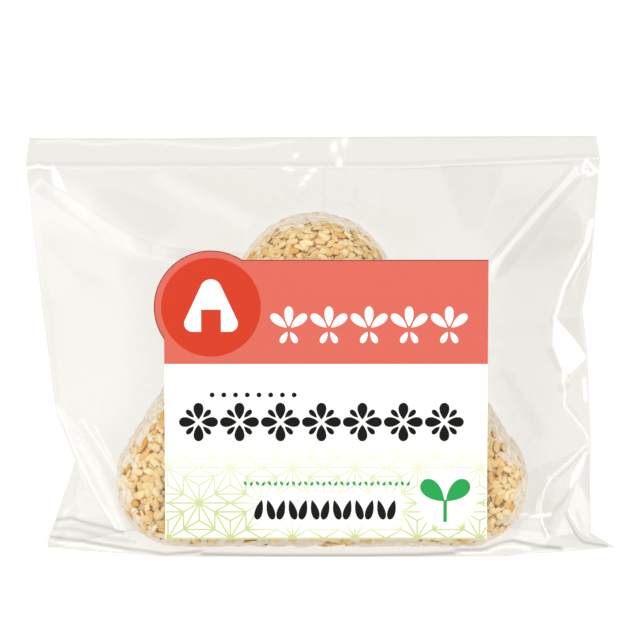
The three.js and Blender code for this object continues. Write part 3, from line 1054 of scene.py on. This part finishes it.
def sesame_material():
    """Roasted sesame: a thin dry husk, cream to gold from seed to seed, with painted shade that browns it
    towards its edge, a brown scar at the pointed end and a grit of 0.5 mm."""
    seeds = settings("sesame")
    material, tree = new_material("roasted_sesame")
    tone = add(tree, "ShaderNodeAttribute", attribute_name="tone")
    edge = add(tree, "ShaderNodeAttribute", attribute_name="edge")
    # Painted shade: the seed browns towards the edge of its flat form
    rim = add(tree, "ShaderNodeMath", {0: edge.outputs["Fac"], 1: 4.0}, operation="POWER")
    deep = add(tree, "ShaderNodeMath", {0: rim.outputs[0], 1: 0.5}, operation="MULTIPLY")
    husk = add(tree, "ShaderNodeMix", {0: tone.outputs["Fac"]}, data_type="RGBA", clamp_factor=False)
    husk.inputs[6].default_value = with_alpha(seeds.pale)
    husk.inputs[7].default_value = with_alpha(seeds.golden)
    seam = add(tree, "ShaderNodeMix", {0: deep.outputs[0], 6: husk.outputs[2]}, data_type="RGBA")
    seam.inputs[7].default_value = with_alpha(linear(SEED_EDGE_SHADE))
    place = add(tree, "ShaderNodeAttribute", attribute_name="place")
    scar = add(tree, "ShaderNodeAttribute", attribute_name="scar")
    ends = {"Value": place.outputs["Fac"], "From Min": 0.3, "From Max": 0.16}
    tip = add(tree, "ShaderNodeMapRange", ends)
    share = add(tree, "ShaderNodeMath", {0: tip.outputs[0], 1: scar.outputs["Fac"]}, operation="MULTIPLY")
    colour = add(tree, "ShaderNodeMix", {0: share.outputs[0], 6: seam.outputs[2]}, data_type="RGBA")
    colour.inputs[7].default_value = with_alpha(seeds.brown)
    where = add(tree, "ShaderNodeTexCoord").outputs["Object"]
    grit = add(tree, "ShaderNodeTexNoise", {"Vector": where, "Scale": 1 / (0.5 * MM), "Detail": 3.0})
    relief = {"Height": grit.outputs["Fac"], "Distance": 0.04 * MM, "Strength": 0.5}
    bump = add(tree, "ShaderNodeBump", relief)
    skin = add(tree, "ShaderNodeBsdfPrincipled", {
        "Base Color": colour.outputs[2],
        "Roughness": 0.46,
        "Specular IOR Level": 0.35,
        "Subsurface Weight": 0.12,
        "Subsurface Radius": (1.0, 0.6, 0.3),
        "Subsurface Scale": 0.6 * MM,
        "Normal": bump.outputs[0],
    })
    add(tree, "ShaderNodeOutputMaterial", {"Surface": skin.outputs[0]})
    return material


# The label


# The card: left and top edge, round tab, disc on it, lower edge of the band and width of the band's dark edge
LABEL_LEFT = -39.0
LABEL_TOP = 74.9
TAB_X = -27.4
TAB_Z = 63.1
TAB_RADIUS = 14.1
DISC_RADIUS = 12.3
BAND_BOTTOM = 48.95
EDGE_WIDTH = 0.25

# The hemp leaf pattern: a star's radius and place, width of its lines, where it ends and where it fades
STAR_RADIUS = 7.75
STAR_PLACE = (-30.56, 14.0)
LINE_WIDTH = 0.44
PATTERN_MARGIN = 0.2
PATTERN_TOP = 31.0
PATTERN_FADE = (-38, -8)

# The clearing round the sprig, inside which lines are cut short to fade out cleanly
SPRIG_PLACE = (31, 15.2)
SPRIG_CLEARING = (6.4, 8.2)
SPRIG_NEAR = 14

# The clearing behind the lowest row of drops: its middle, its edges and how far the pattern fades in it
DROPS_PLACE = (2, 12)
DROPS_ACROSS = (-20, -16)
DROPS_UP = (-6, -3.5)
DROPS_CLEARED = 0.9

# Rows of ornaments: x of the first, height, spacing and number
BLOSSOM_ROW = (-8.2, 57.6, 9.9, 5)
ROSETTE_ROW = (-30.6, 34.4, 10.15, 7)
DOT_ROW = (-27.2, 41.2, 2.9, 8)
LEAF_ROW = (-19, 18.9, 1.5, 28)
DROP_ROW = (-15.6, 12.3, 2.75, 13)

# Colours of the print that are no settings, and of the paper
WHITE = "#e9e9e7"
EDGE_COLOUR = "#7a3226"
LEAF_COLOUR = "#1f9648"
BARE_PAPER = ("#f4f3ef", "#fbfaf7")

# Output of the triangulation: only what lies inside an outline
INSIDE_ONLY = 1


def circle(x, z, radius, count=96):
    """Points round a circle."""
    turn = np.linspace(0, 2 * math.pi, count, endpoint=False)
    return np.stack([x + radius * np.cos(turn), z + radius * np.sin(turn)], -1)


def box_2d(x0, z0, x1, z1):
    """Corners of a rectangle."""
    return np.array([(x0, z0), (x1, z0), (x1, z1), (x0, z1)])


def stroke(a, b, width):
    """A straight line of that width as a thin rectangle."""
    a, b = np.array(a, float), np.array(b, float)
    ahead = (b - a) / np.linalg.norm(b - a)
    side = np.array([-ahead[1], ahead[0]]) * width / 2
    return np.array([a - side, b - side, b + side, a + side])


def drop(x, z, long, wide, angle, count=28):
    """A seed's outline: round at one end and pointed at the other, turned by the angle."""
    turn = np.linspace(0, 2 * math.pi, count, endpoint=False)
    px = long / 2 * np.cos(turn)
    pz = wide / 2 * np.sin(turn) * np.sin(turn / 2) ** 0.8 * 1.25
    c, s = math.cos(angle), math.sin(angle)
    return np.stack([x + px * c - pz * s, z + px * s + pz * c], -1)


def motif(x, z, long, wide, angles, reach):
    """Drops of one size round a point, each pointing inwards at its own angle in degrees."""
    made = []
    for angle in np.radians(angles):
        drop_x, drop_z = x + reach * math.cos(angle), z + reach * math.sin(angle)
        made.append(drop(drop_x, drop_z, long, wide, angle + math.pi))
    return made


def rice_ball_sign(x, z, size):
    """A rounded triangle, as a sign for a rice ball, and the oblong patch on it."""
    corners = [(0, 0.48, 0.26), (-0.45, -0.34, 0.2), (0.45, -0.34, 0.2)]
    starts = [30, 150, 270]
    points = []
    for (cx, cz, r), start in zip(corners, starts):
        turn = np.radians(np.linspace(start, start + 120, 16))
        points += list(zip(x + size * (cx + r * np.cos(turn)), z + size * (cz + r * np.sin(turn))))
    patch = box_2d(x - 0.24 * size, z - 0.54 * size, x + 0.24 * size, z + 0.0 * size)
    return np.array(points), patch


def places(row):
    """Points of a row of ornaments."""
    first, height, gap, count = row
    return [(first + gap * k, height) for k in range(count)]


def ornaments():
    """Rows of drops and sprigs where a label carries its words, as (outline, ink)."""
    sign, patch = rice_ball_sign(TAB_X, TAB_Z - 0.6, 10.2)
    shapes = [(sign, "white"), (patch, "disc")]
    for x, z in places(BLOSSOM_ROW):
        shapes += [(d, "white") for d in motif(x, z, 5.0, 2.2, (90, 40, 140), 3.2)]
        shapes += [(d, "white") for d in motif(x, z, 3.2, 1.5, (-60, -120), 2.3)]
    for x, z in places(ROSETTE_ROW):
        shapes += [(d, "dark") for d in motif(x, z, 4.2, 2.5, np.arange(0, 360, 90), 2.75)]
        shapes += [(d, "dark") for d in motif(x, z, 2.7, 1.3, np.arange(45, 360, 90), 2.9)]
    for x, z in places(DOT_ROW):
        shapes.append((circle(x, z, 0.62, 20), "dark"))
    for k, (x, z) in enumerate(places(LEAF_ROW)):
        shapes.append((drop(x, z, 1.25, 0.75, math.radians(60 if k % 2 else -60), 14), "leaf"))
    for k, (x, z) in enumerate(places(DROP_ROW)):
        shapes.append((drop(x, z, 5.2, 2.0, math.radians(105 if k % 2 else 75), 20), "dark"))
    shapes += [(d, "leaf") for d in motif(30.6, 14.3, 7.4, 4.4, (42, 138), 4.0)]
    shapes.append((stroke((30.6, 9.2), (30.6, 14.8), 0.9), "leaf"))
    return shapes


def star_lines():
    """Lines of the hemp leaf pattern: from each star's middle to six far and six near points, from each near
    point to its two far neighbours, and across the star's top and bottom. The stars stand on a centred
    lattice."""
    far, near = STAR_RADIUS, STAR_RADIUS / math.sqrt(3)
    across, down = 2 * far, 4 * near
    far_points = [far * np.array([math.cos(a), math.sin(a)]) for a in np.radians(np.arange(0, 360, 60))]
    near_points = [near * np.array([math.cos(a), math.sin(a)]) for a in np.radians(np.arange(30, 360, 60))]
    lines = []
    middle = np.zeros(2)
    for k in range(6):
        lines += [(middle, far_points[k]), (middle, near_points[k])]
        lines += [(near_points[k], far_points[k]), (near_points[k], far_points[(k + 1) % 6])]
    lines += [(far_points[1], far_points[2]), (far_points[4], far_points[5])]
    start = np.array(STAR_PLACE)
    found = []
    for i in range(-3, 9):
        for j in range(-3, 5):
            for shift in ((0, 0), (across / 2, down / 2)):
                at = start + (i * across + shift[0], j * down + shift[1])
                found += [(a + at, b + at) for a, b in lines]
    return found


def clipped(a, b, low, high):
    """The stretch of a line inside a rectangle, or None."""
    t0, t1 = 0.0, 1.0
    for k in range(2):
        run = b[k] - a[k]
        if abs(run) < 1e-9:
            if not low[k] <= a[k] <= high[k]:
                return None
            continue
        enter, leave = sorted(((low[k] - a[k]) / run, (high[k] - a[k]) / run))
        t0, t1 = max(t0, enter), min(t1, leave)
    return (a + (b - a) * t0, a + (b - a) * t1) if t1 - t0 > 0.02 else None


def print_shapes():
    """The print as (outline, ink) from the bottom up."""
    left, bottom = LABEL_LEFT, LABEL_LOW[2]
    right, top = LABEL_HIGH[0], LABEL_TOP
    start = math.asin((top - TAB_Z) / TAB_RADIUS)
    stop = 2 * math.pi - math.acos((left - TAB_X) / TAB_RADIUS)
    turn = np.linspace(start, stop, 60)
    tab = np.stack([TAB_X + TAB_RADIUS * np.cos(turn), TAB_Z + TAB_RADIUS * np.sin(turn)], -1)
    card = np.concatenate([[(left, bottom), (right, bottom), (right, top)], tab])
    shapes = [(card, "paper")]
    low = (left + PATTERN_MARGIN, bottom + PATTERN_MARGIN)
    high = (right - PATTERN_MARGIN, PATTERN_TOP)
    seen = set()
    for a, b in star_lines():
        part = clipped(a, b, low, high)
        if part is None:
            continue
        key = tuple(sorted((tuple(np.round(part[0], 1)), tuple(np.round(part[1], 1)))))
        if key in seen:
            continue
        seen.add(key)
        near = np.hypot(*(np.mean(part, axis=0) - SPRIG_PLACE)) < SPRIG_NEAR
        stops = [part[0] + (part[1] - part[0]) * t for t in np.linspace(0, 1, 5 if near else 2)]
        for first, last in zip(stops[:-1], stops[1:]):
            shapes.append((stroke(first, last, LINE_WIDTH), "pattern"))
    band = np.concatenate([[(right, BAND_BOTTOM), (right, top)], tab, [(left, BAND_BOTTOM)]])
    shapes.append((band, "band"))
    radius, low_edge = TAB_RADIUS - EDGE_WIDTH, top - EDGE_WIDTH
    inner = np.stack([TAB_X + radius * np.cos(turn), TAB_Z + radius * np.sin(turn)], -1)[::-1]
    below = [(inner[-1][0] + 0.1, low_edge), (right, low_edge)]
    shapes.append((np.concatenate([[(right, top)], tab, inner[:-1], below]), "edge"))
    shapes.append((circle(TAB_X, TAB_Z, DISC_RADIUS), "disc"))
    return shapes + ornaments()


def inks(ink, x, z):
    """Colours of an ink at points. The pattern fades towards its top and round two clearings."""
    label = settings("label")
    plain = {
        "paper": linear(WHITE),
        "band": label.band,
        "disc": label.disc,
        "white": linear(WHITE),
        "dark": label.ink,
        "edge": linear(EDGE_COLOUR),
        "leaf": linear(LEAF_COLOUR),
    }
    if ink in plain:
        return np.tile(np.array(plain[ink], float), (len(x), 1))
    strength = smooth(-z, *PATTERN_FADE)
    strength = strength * smooth(np.hypot(x - SPRIG_PLACE[0], z - SPRIG_PLACE[1]), *SPRIG_CLEARING)
    across = smooth(-np.abs(x - DROPS_PLACE[0]), *DROPS_ACROSS)
    up = smooth(-np.abs(z - DROPS_PLACE[1]), *DROPS_UP)
    strength = strength * (1 - DROPS_CLEARED * across * up)
    paper = np.array(plain["paper"])
    return paper + (np.array(label.pattern) - paper) * strength[:, None]


def printed_card():
    """The card: its front is cut along the outline of every printed field, so each has a clean edge, and
    coloured field by field. A Solidify modifier gives it its thickness behind."""
    shapes = print_shapes()
    points, faces = [], []
    for outline, _ in shapes:
        start = len(points)
        points += [Vector((float(p[0]), float(p[1]))) for p in outline]
        faces.append(list(range(start, len(points))))
    made, _, triangles, _, _, origins = delaunay_2d_cdt(points, [], faces, INSIDE_ONLY, 1e-4)
    inside = [(t, max(o)) for t, o in zip(triangles, origins) if o]
    flat = np.array([(v[0], v[1]) for v in made])
    front = LABEL_LOW[1]
    solid = np.stack([flat[:, 0], np.full(len(flat), front), flat[:, 1]], -1)
    polygons = np.array([t[0] for t in inside])
    ab = flat[polygons[:, 1]] - flat[polygons[:, 0]]
    ac = flat[polygons[:, 2]] - flat[polygons[:, 0]]
    flipped = ab[:, 0] * ac[:, 1] - ab[:, 1] * ac[:, 0] < 0
    polygons[flipped] = polygons[flipped][:, ::-1]
    thing = make_mesh("printed_label", solid, polygons, smooth_shading=False)
    names = np.array([shapes[t[1]][1] for t in inside])
    colours = np.zeros((len(polygons), 3, 4))
    colours[..., 3] = 1
    for ink in set(names):
        chosen = names == ink
        corners = flat[polygons[chosen].reshape(-1)]
        colours[chosen, :, :3] = inks(ink, corners[:, 0], corners[:, 1]).reshape(-1, 3, 3)
    layer = thing.data.attributes.new("print", "FLOAT_COLOR", "CORNER")
    layer.data.foreach_set("color", colours.astype(np.float32).reshape(-1))
    return thing


def card_material():
    """Coated paper printed in flat inks: smooth and semi-matt, with the faint grain of its fibres, 0.6 mm."""
    material, tree = new_material("printed_coated_paper")
    ink = add(tree, "ShaderNodeAttribute", attribute_name="print")
    where = add(tree, "ShaderNodeTexCoord").outputs["Object"]
    fibre = add(tree, "ShaderNodeTexNoise", {"Vector": where, "Scale": 1 / (0.6 * MM), "Detail": 4.0})
    relief = {"Height": fibre.outputs["Fac"], "Distance": 0.01 * MM, "Strength": 0.4}
    bump = add(tree, "ShaderNodeBump", relief)
    skin = add(tree, "ShaderNodeBsdfPrincipled", {
        "Base Color": ink.outputs["Color"],
        "Roughness": 0.55,
        "Specular IOR Level": 0.15,
        "Normal": bump.outputs[0],
    })
    add(tree, "ShaderNodeOutputMaterial", {"Surface": skin.outputs[0]})
    return material


def paper_material():
    """The bare back of the card: plain white uncoated paper, a little cloudy from fibres of 0.8 mm."""
    material, tree = new_material("plain_white_paper")
    where = add(tree, "ShaderNodeTexCoord").outputs["Object"]
    fibre = add(tree, "ShaderNodeTexNoise", {"Vector": where, "Scale": 1 / (0.8 * MM), "Detail": 4.0})
    tone = add(tree, "ShaderNodeMix", {0: fibre.outputs["Fac"]}, data_type="RGBA")
    tone.inputs[6].default_value = with_alpha(linear(BARE_PAPER[0]))
    tone.inputs[7].default_value = with_alpha(linear(BARE_PAPER[1]))
    skin = add(tree, "ShaderNodeBsdfPrincipled", {"Base Color": tone.outputs[2], "Roughness": 0.8})
    add(tree, "ShaderNodeOutputMaterial", {"Surface": skin.outputs[0]})
    return material


# Operators


class RICE_OT_film(bpy.types.Operator):
    """Film bag in place of the bag's solid"""

    bl_idname = "rice_pack.film"
    bl_label = "Film bag"

    def execute(self, context):
        film = film_bag()
        dress(film, film_material())
        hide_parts("bag")
        return {"FINISHED"}


class RICE_OT_rice(bpy.types.Operator):
    """Pressed rice with loose grains on its sides"""

    bl_idname = "rice_pack.rice"
    bl_label = "Rice ball"

    def execute(self, context):
        material = rice_material()
        for piece in (rice_core(), rice_grains()):
            dress(piece, material)
            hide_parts("bag")
        return {"FINISHED"}


class RICE_OT_sesame(bpy.types.Operator):
    """Sesame seeds on the front and back faces"""

    bl_idname = "rice_pack.sesame"
    bl_label = "Sesame"

    def execute(self, context):
        material = sesame_material()
        for piece in (sesame("sesame_front", True, 31), sesame("sesame_back", False, 32)):
            dress(piece, material)
            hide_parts("bag")
        return {"FINISHED"}


class RICE_OT_label(bpy.types.Operator):
    """Printed card in place of the label's plate"""

    bl_idname = "rice_pack.label"
    bl_label = "Label"

    def execute(self, context):
        card = printed_card()
        dress(card, card_material())
        card.data.materials.append(paper_material())
        solid = card.modifiers.new("Thickness", "SOLIDIFY")
        solid.thickness = (LABEL_HIGH[1] - LABEL_LOW[1]) * MM
        solid.offset = -1
        solid.material_offset = 1
        solid.material_offset_rim = 1
        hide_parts("label")
        return {"FINISHED"}


# Soft lights that light the scene and aren't mirrored: name, place and size in metres, watts and colour
FILL_LIGHTS = (
    ("front_fill", (0, -1.3, 0.85), (1.6, 0.5), 4.9, (1, 0.99, 0.97)),
    ("left_fill", (-1.1, -0.35, 0.4), (0.9, 0.7), 4.0, (1, 0.985, 0.96)),
    ("right_fill", (1.1, -0.35, 0.4), (0.9, 0.7), 5.2, (1, 0.985, 0.96)),
)

# Soft boxes that only the gloss shows, in the same terms
GLOSS_LIGHTS = (
    ("left_box", (-0.9, -0.6, 0.45), (0.35, 0.9), 0.8, (1, 0.99, 0.97)),
    ("right_box", (0.72, -0.72, 0.45), (0.35, 0.9), 1.4, (1, 0.99, 0.97)),
    ("overhead_box", (-0.3, -0.2, 1.2), (1.4, 1.0), 4.0, (1, 0.99, 0.97)),
    ("left_card", (-0.34, -0.08, 0.14), (1.0, 0.5), 0.9, (1, 0.99, 0.97)),
)

# What the lights face and what the camera looks at, in metres
LIT_PLACE = (0, 0, 0.05)
CAMERA_TARGET = (-0.5 * MM, 0, 56.95 * MM)

# Half the floor's side in mm, and the strengths of its glow, of the room's light and of the broad daylight
FLOOR_REACH = 6000
FLOOR_GLOW = 0.8
ROOM_LIGHT = 0.55
DAYLIGHT = 1.15


def area_light(name, place, size, power, colour):
    """A rectangular soft light at place that faces the lit place, both in metres."""
    lamp = bpy.data.lights.new(name, "AREA")
    lamp.shape = "RECTANGLE"
    lamp.size, lamp.size_y = size
    lamp.energy = power
    lamp.color = colour
    thing = bpy.data.objects.new(name, lamp)
    bpy.context.scene.collection.objects.link(thing)
    thing.location = place
    thing.rotation_euler = (Vector(LIT_PLACE) - Vector(place)).to_track_quat("-Z", "Y").to_euler()
    thing.visible_camera = False
    return thing


class RICE_OT_stage(bpy.types.Operator):
    """White floor, soft lights and the camera at the photograph's angle"""

    bl_idname = "rice_pack.stage"
    bl_label = "Stage"

    def execute(self, context):
        stage = settings("stage")
        corners = FLOOR_REACH * np.array([(-1, -1, 0), (1, -1, 0), (1, 1, 0), (-1, 1, 0)])
        floor = make_mesh("floor", corners, np.array([[0, 1, 2, 3]]))
        material, tree = new_material("white_paper_floor")
        skin = add(tree, "ShaderNodeBsdfPrincipled", {
            "Base Color": with_alpha((0.35, 0.35, 0.35)),
            "Roughness": 0.9,
            "Specular IOR Level": 0.0,
            "Emission Color": with_alpha((1, 0.998, 0.99)),
            "Emission Strength": FLOOR_GLOW,
        })
        add(tree, "ShaderNodeOutputMaterial", {"Surface": skin.outputs[0]})
        floor.data.materials.append(material)

        world = bpy.data.worlds.new("soft_room")
        context.scene.world = world
        world.use_nodes = True
        room = world.node_tree.nodes["Background"]
        room.inputs["Color"].default_value = (1.0, 0.995, 0.985, 1)
        room.inputs["Strength"].default_value = ROOM_LIGHT

        sun = bpy.data.lights.new("bounced_daylight", "SUN")
        sun.energy = DAYLIGHT
        sun.angle = math.radians(70)
        sky = bpy.data.objects.new("bounced_daylight", sun)
        context.scene.collection.objects.link(sky)
        sky.rotation_euler = (math.radians(40), math.radians(-20), 0)
        sky.visible_glossy = False
        for light in FILL_LIGHTS:
            area_light(*light).visible_glossy = False
        for light in GLOSS_LIGHTS:
            area_light(*light).visible_diffuse = False

        camera_data = bpy.data.cameras.new("camera")
        camera = bpy.data.objects.new("camera", camera_data)
        context.scene.collection.objects.link(camera)
        camera_data.lens = stage.lens
        camera_data.clip_start = 0.05
        camera_data.clip_end = 40
        back = Vector((0, -math.cos(stage.elevation), math.sin(stage.elevation)))
        camera.location = Vector(CAMERA_TARGET) + back * stage.distance
        camera.rotation_euler = (-back).to_track_quat("-Z", "Y").to_euler()
        context.scene.camera = camera
        context.scene.view_settings.view_transform = "Standard"
        context.scene.view_settings.look = "None"
        return {"FINISHED"}


class RICE_PT_panel(bpy.types.Panel):
    """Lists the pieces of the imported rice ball"""

    bl_idname = "RICE_PT_panel"
    bl_label = "Packed rice ball"
    bl_space_type = "VIEW_3D"
    bl_region_type = "UI"
    bl_category = "Rice ball"

    def draw(self, context):
        for name in ("bag", "rice", "sesame", "label", "stage"):
            group = settings(name)
            box = self.layout.box()
            box.label(text=name.capitalize())
            for key in group.__annotations__:
                box.prop(group, key)
        for operator in OPERATORS:
            self.layout.operator(operator.bl_idname)


GROUPS = {
    "bag": BagSettings,
    "rice": RiceSettings,
    "sesame": SesameSettings,
    "label": LabelSettings,
    "stage": StageSettings,
}
OPERATORS = (RICE_OT_film, RICE_OT_rice, RICE_OT_sesame, RICE_OT_label, RICE_OT_stage)


def register():
    for name, group in GROUPS.items():
        bpy.utils.register_class(group)
        setattr(bpy.types.Scene, "rice_pack_" + name, bpy.props.PointerProperty(type=group))
    for operator in OPERATORS:
        bpy.utils.register_class(operator)
    bpy.utils.register_class(RICE_PT_panel)


def unregister():
    bpy.utils.unregister_class(RICE_PT_panel)
    for operator in reversed(OPERATORS):
        bpy.utils.unregister_class(operator)
    for name, group in GROUPS.items():
        delattr(bpy.types.Scene, "rice_pack_" + name)
        bpy.utils.unregister_class(group)


def main():
    """Builds every piece and the stage."""
    register()
    bpy.ops.rice_pack.film()
    bpy.ops.rice_pack.rice()
    bpy.ops.rice_pack.sesame()
    bpy.ops.rice_pack.label()
    bpy.ops.rice_pack.stage()


if __name__ == "__main__":
    main()
